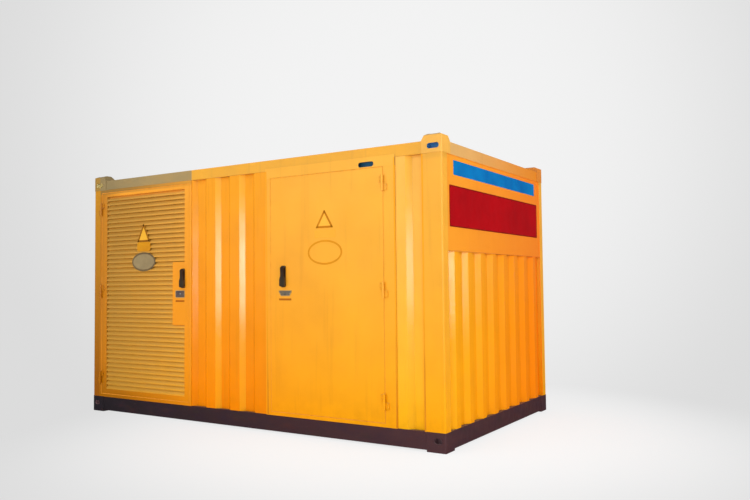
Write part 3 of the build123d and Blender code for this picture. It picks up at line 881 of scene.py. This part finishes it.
lock_plate("louvre_door", rectangle(0.140, 0.082, corner=0.018), lock_grey,
           across=1.385, up=1.308, strip_up=1.235, strip_length=0.128)
funnel = [(-0.052, -0.028), (0.052, -0.028), (0.076, 0.010), (0.076, 0.028), (-0.076, 0.028),
          (-0.076, 0.010)]
lock_plate("plain_door", funnel, lock_steel,
           across=2.784, up=1.313, strip_up=1.255, strip_length=0.146)


# The sign board on the right end, bare, and the plain stripe above it
board_red = enamel("board_red", srgb(174, 0, 12), srgb(158, 2, 12), 0.6, scale=3.0, shine=0.05)
board_rim = enamel("board_rim", srgb(136, 6, 10), srgb(116, 8, 10), 0.6, shine=0.05)
stripe_blue = enamel("stripe_blue", srgb(0, 118, 184), srgb(0, 98, 166), 0.6, scale=4.0,
                     shine=0.05)


def sign_board():
    near, far, low, high = 0.145, 2.260, 1.870, 2.225
    length, height, thickness = far - near, high - low, 0.003
    rim_step = 0.0008
    place = on_right_end((near + far) / 2, (low + high) / 2)
    mesh = bmesh.new()
    plate(mesh, place, rectangle(length, height, corner=0.010), thickness, rim=0.009,
          step=rim_step)
    make_piece("sign_board", mesh, [board_red, board_rim], "housing",
               smooth=False)

    rivet_inset = 0.020
    rivet_gaps = 6
    across = length / 2 - rivet_inset
    mesh = bmesh.new()
    for row in (-1, 1):
        for i in range(rivet_gaps + 1):
            x = -across + 2 * across * i / rivet_gaps
            y = row * (height / 2 - rivet_inset)
            head = place @ Matrix.Translation((x, y, thickness - rim_step))
            dome(mesh, head, radius=0.006, height=0.002)
    make_piece("sign_board_rivets", mesh, board_rim, "housing")


def end_stripe():
    near, far, low, high = 0.230, 2.200, 2.318, 2.445
    mesh = bmesh.new()
    plate(mesh, on_right_end((near + far) / 2, (low + high) / 2),
          rectangle(far - near, high - low, corner=0.004), thickness=0.0005)
    make_piece("end_stripe", mesh, stripe_blue, "housing", smooth=False)


sign_board()
end_stripe()


# Painted shadow lines where the corrugated sheets meet the door frame and the right post
def seam_shadow_paint():
    paint = Finish("painted_seam_shadow")
    # Thin dark strips painted where the shade of the steps falls, browner low down, paler in
    # patches.
    brown_at = 1.2
    low = paint.levels(paint.axis("Z"), brown_at, base_top)
    colour = paint.blend(low, srgb(240, 158, 26), srgb(200, 116, 4))
    patchy = paint.patches(18, 4, 0.35, 0.65, stretch=(1.0, 1.0, 0.3))
    paint.set(Base_Color=paint.blend(paint.times(patchy, 0.4), colour, srgb(246, 166, 30)),
              Roughness=paint.levels(patchy, 0.0, 1.0, 0.6, 0.8), Specular_IOR_Level=0.2)
    paint.relief((paint.noise(120, 3), 0.0003))
    return paint.material


def seam_shadow_lines():
    """Thin strips, each given by its left edge at the base and at the rail, and its width."""
    frame_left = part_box("plain_door_frame")[0].x
    frame_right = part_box("plain_door_frame")[1].x
    post_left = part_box("corner_post_front_right")[0].x
    height = rail_bottom - base_top - 0.004
    mesh = bmesh.new()
    for low_x, high_x, width in ((frame_left + 0.018, frame_left + 0.0005, 0.014),
                                 (frame_right - 0.013, frame_right - 0.013, 0.0125),
                                 (post_left + 0.0005, post_left + 0.0005, 0.014)):
        place = on_front((low_x + high_x) / 2 - left_end, (base_top + rail_bottom) / 2)
        lean = (high_x - low_x) / 2
        outline = [(-lean, -height / 2), (width - lean, -height / 2),
                   (width + lean, height / 2), (lean, height / 2)]
        plate(mesh, place, outline, thickness=0.0005)
    make_piece("seam_shadow_lines", mesh, seam_shadow_paint(), "housing", smooth=False)


seam_shadow_lines()


# Weld beads of the frame and the skin
def welds(name, finish, runs):
    mesh = bmesh.new()
    for start, end in runs:
        bead(mesh, start, end)
    make_piece(name, mesh, finish, "housing")


def front_welds():
    """Along the base and the rail, where frames and posts stand flat on them."""
    depth, inset = 0.005, 0.004
    y = front + depth
    runs = []
    for node_name in ("corner_post_front_left", "louvre_door_frame", "plain_door_frame",
                      "corner_post_front_right"):
        low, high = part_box(node_name)
        heights = (base_top,) if "post" in node_name else (base_top, rail_bottom)
        for z in heights:
            runs.append(((low.x + inset, y, z), (high.x - inset, y, z)))
    welds("front_welds", front_yellow, runs)


def end_welds(side):
    """Round the flat upper sheet, and down the posts beside the corrugated one."""
    depth = 0.006
    x = side * (right_end - depth)
    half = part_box("end_wall_right_upper")[1].y
    runs = [((x, -half, z), (x, half, z)) for z in (end_joint, rail_bottom)]
    runs += [((x, y, base_top), (x, y, rail_bottom)) for y in (-half, half)]
    welds("end_welds_right" if side > 0 else "end_welds_left", end_yellow, runs)


def back_welds():
    """Down the posts beside the corrugated back wall."""
    depth = 0.006
    y = back - depth
    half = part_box("back_wall")[1].x
    welds("back_welds", front_yellow,
          [((x, y, base_top), (x, y, rail_bottom)) for x in (-half, half)])


front_welds()
end_welds(1)
end_welds(-1)
back_welds()


# Camera, as found from the photograph
camera_place = Vector((4.978, -6.672, 1.394))
camera_yaw = math.radians(-32.06)
camera_pitch = math.radians(2.606)
camera_roll = math.radians(-0.624)
camera_lens = 35.48
camera_sensor = 36


def view_direction(yaw, pitch):
    return Vector((math.sin(yaw) * math.cos(pitch), math.cos(yaw) * math.cos(pitch),
                   math.sin(pitch)))


# Floor, world and lamps
class Backdrop(Nodes):
    """The nodes that the floor and the world share: the grey that the camera sees."""

    def __init__(self, tree):
        super().__init__(tree)
        self.path = tree.nodes.new("ShaderNodeLightPath")

    def vector(self, operation, first, second=None):
        node = self.tree.nodes.new("ShaderNodeVectorMath")
        node.operation = operation
        self.feed(node.inputs[0], first)
        if second is not None:
            self.feed(node.inputs[1], second)
        return node.outputs["Value" if operation in ("DOT_PRODUCT", "DISTANCE") else "Vector"]

    def tone(self, direction):
        """Pale a little above the middle of the photograph's view, and darker away from it."""
        right, up, reach = math.radians(2), math.radians(9), math.radians(31)
        palest = view_direction(camera_yaw + right, camera_pitch + up)
        towards = self.vector("DOT_PRODUCT", direction, palest)
        away = self.levels(towards, 1.0, math.cos(reach), smooth=True)
        return self.blend(away, srgb(243, 243, 243), srgb(220, 220, 220))

    def shown_to_camera(self, lit, colour, kind, output, share=None):
        """The lit surface for the light, and the plain colour for the camera."""
        plain = self.tree.nodes.new(kind)
        self.feed(plain.inputs["Color"], colour)
        rays = self.path.outputs["Is Camera Ray"]
        if share is not None:
            rays = self.times(rays, share)
        mix = self.tree.nodes.new("ShaderNodeMixShader")
        self.feed(mix.inputs[0], rays)
        self.feed(mix.inputs[1], lit)
        self.feed(mix.inputs[2], plain.outputs[0])
        self.feed(self.tree.nodes[output].inputs["Surface"], mix.outputs[0])


def studio_floor():
    """White under the object, where it takes the shadow, and the world's grey farther off."""
    half_size = 60
    white_centre = Vector((1.5, -0.5, 0))
    white_radius, grey_radius = 1.0, 3.9
    lit_tone, mirrored_tone = (0.88, 0.88, 0.88, 1), (0.06, 0.06, 0.06, 1)
    mesh = bmesh.new()
    bmesh.ops.create_grid(mesh, x_segments=1, y_segments=1, size=half_size)
    data = bpy.data.meshes.new("studio_floor")
    mesh.to_mesh(data)
    mesh.free()
    thing = bpy.data.objects.new("studio_floor", data)
    bpy.context.scene.collection.objects.link(thing)
    material = bpy.data.materials.new("studio_floor")
    material.use_nodes = True
    data.materials.append(material)
    shader = material.node_tree.nodes["Principled BSDF"]
    shader.inputs["Roughness"].default_value = 0.8
    shader.inputs["Specular IOR Level"].default_value = 0.1
    backdrop = Backdrop(material.node_tree)
    tone = backdrop.blend(backdrop.path.outputs["Is Glossy Ray"], lit_tone, mirrored_tone)
    backdrop.feed(shader.inputs["Base Color"], tone)
    place = backdrop.tree.nodes.new("ShaderNodeTexCoord").outputs["Object"]
    distance = backdrop.vector("DISTANCE", place, white_centre)
    far = backdrop.levels(distance, white_radius, grey_radius, smooth=True)
    from_camera = backdrop.vector("SUBTRACT", place, camera_place)
    grey = backdrop.tone(backdrop.vector("NORMALIZE", from_camera))
    colour = backdrop.blend(far, (1.0, 1.0, 1.0, 1), grey)
    share = backdrop.levels(far, 0.0, 1.0, 0.76, 1.0, smooth=True)
    backdrop.shown_to_camera(shader.outputs[0], colour, "ShaderNodeEmission",
                             "Material Output", share)


def studio_world():
    """Even white light; the camera sees pale grey, darker away from the middle of the view."""
    light_level, mirrored_level = 0.55, 0.10
    world = bpy.data.worlds.new("studio")
    bpy.context.scene.world = world
    world.use_nodes = True
    backdrop = Backdrop(world.node_tree)
    lit = world.node_tree.nodes["Background"]
    lit.inputs["Color"].default_value = (1.0, 1.0, 1.0, 1)
    level = backdrop.levels(backdrop.path.outputs["Is Glossy Ray"], 0.0, 1.0, light_level,
                            mirrored_level)
    backdrop.feed(lit.inputs["Strength"], level)
    direction = backdrop.tree.nodes.new("ShaderNodeTexCoord").outputs["Generated"]
    backdrop.shown_to_camera(lit.outputs[0], backdrop.tone(direction), "ShaderNodeBackground",
                             "World Output")


def softbox(name, place, target, width, height, radiance, mirrored=True):
    """A soft lamp; its radiance is how bright its face looks, 1 being white."""
    lamp = bpy.data.lights.new(name, "AREA")
    lamp.shape = "RECTANGLE"
    lamp.size = width
    lamp.size_y = height
    lamp.energy = radiance * math.pi * width * height
    thing = bpy.data.objects.new(name, lamp)
    bpy.context.scene.collection.objects.link(thing)
    thing.location = place
    thing.rotation_euler = (Vector(target) - Vector(place)).to_track_quat("-Z", "Y").to_euler()
    thing.visible_camera = False
    thing.visible_glossy = mirrored


studio_floor()
studio_world()

# Large lamps for the front and the right end
softbox("key_front", (-2.5, -8.5, 7.0), (0, front, 1.3), width=9.0, height=4.5, radiance=1.7)
softbox("fill_front", (-3.5, -9.0, 1.9), (-0.8, front, 1.3), width=7.0, height=2.2,
        radiance=2.6, mirrored=False)
softbox("key_end", (9.5, -1.0, 5.5), (right_end, 0, 1.3), width=6.0, height=4.0, radiance=3.9)

# Small ones that mirror in the slopes of the corrugations
softbox("band_middle", (4.35, -9.0, 1.75), (0, front, 1.45), width=1.4, height=2.1,
        radiance=11.8)
softbox("band_right", (8.9, -9.0, 1.75), (1.9, front, 1.50), width=2.2, height=2.1,
        radiance=6.0)
softbox("band_end", (11.0, -0.85, 1.60), (right_end, -1.0, 1.50), width=0.9, height=1.9,
        radiance=8.6)


def photo_camera():
    look = view_direction(camera_yaw, camera_pitch)
    level = Vector((math.cos(camera_yaw), -math.sin(camera_yaw), 0))
    upright = level.cross(look)
    right = math.cos(camera_roll) * level + math.sin(camera_roll) * upright
    up = -math.sin(camera_roll) * level + math.cos(camera_roll) * upright
    lens = bpy.data.cameras.new("camera")
    lens.sensor_width = camera_sensor
    lens.lens = camera_lens
    thing = bpy.data.objects.new("camera", lens)
    bpy.context.scene.collection.objects.link(thing)
    turned = Matrix((right, up, -look)).transposed().to_4x4()
    thing.matrix_world = Matrix.Translation(camera_place) @ turned
    bpy.context.scene.camera = thing


photo_camera()
bpy.context.scene.view_settings.view_transform = "Standard"
